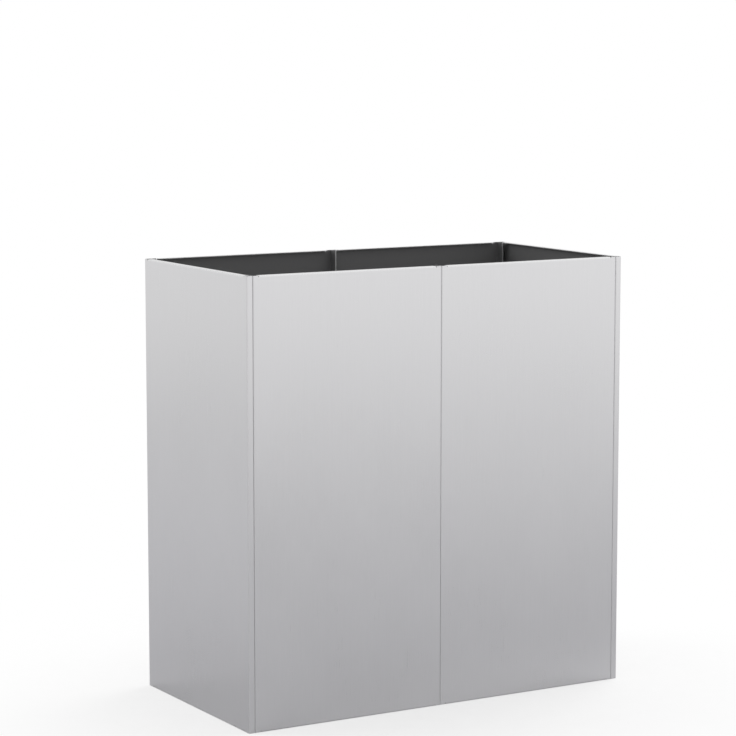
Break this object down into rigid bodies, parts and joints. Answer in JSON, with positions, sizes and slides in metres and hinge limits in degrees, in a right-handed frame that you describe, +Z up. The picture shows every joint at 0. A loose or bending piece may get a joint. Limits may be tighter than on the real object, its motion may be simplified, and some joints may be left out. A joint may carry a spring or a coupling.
{
  "type": "floor planter",
  "caption": "Tall rectangular floor planter of folded stainless sheet panels bolted at their seams, with rim folds, corner returns, a drained base and a tie strap.",
  "frame": {"origin": "on the ground, under the middle of the planter", "axes": "+Z up; +X along the length, to the right seen from the front; the front faces -Y"},
  "size_m": [0.784, 0.4, 0.8],
  "materials": {
    "satin_steel": "satin stainless steel sheet",
    "plate_steel": "mill-finish stainless sheet",
    "bolt_steel": "bright zinc-plated steel"
  },
  "bodies": {
    "root": {"end_panel_left": "satin_steel", "end_panel_right": "satin_steel", "front_panel_left": "satin_steel", "front_panel_right": "satin_steel", "back_panel_left": "satin_steel", "back_panel_right": "satin_steel", "base_plate_left": "plate_steel", "base_plate_right": "plate_steel", "centre_tie": "plate_steel", "front_left_seam_bolts": "bolt_steel", "front_left_seam_washers": "bolt_steel", "front_left_seam_nuts": "bolt_steel", "front_middle_seam_bolts": "bolt_steel", "front_middle_seam_washers": "bolt_steel", "front_middle_seam_nuts": "bolt_steel", "front_right_seam_bolts": "bolt_steel", "front_right_seam_washers": "bolt_steel", "front_right_seam_nuts": "bolt_steel", "back_left_seam_bolts": "bolt_steel", "back_left_seam_washers": "bolt_steel", "back_left_seam_nuts": "bolt_steel", "back_middle_seam_bolts": "bolt_steel", "back_middle_seam_washers": "bolt_steel", "back_middle_seam_nuts": "bolt_steel", "back_right_seam_bolts": "bolt_steel", "back_right_seam_washers": "bolt_steel", "back_right_seam_nuts": "bolt_steel", "base_rib_bolts": "bolt_steel", "base_rib_washers": "bolt_steel", "base_rib_nuts": "bolt_steel"}
  },
  "joints": []
}
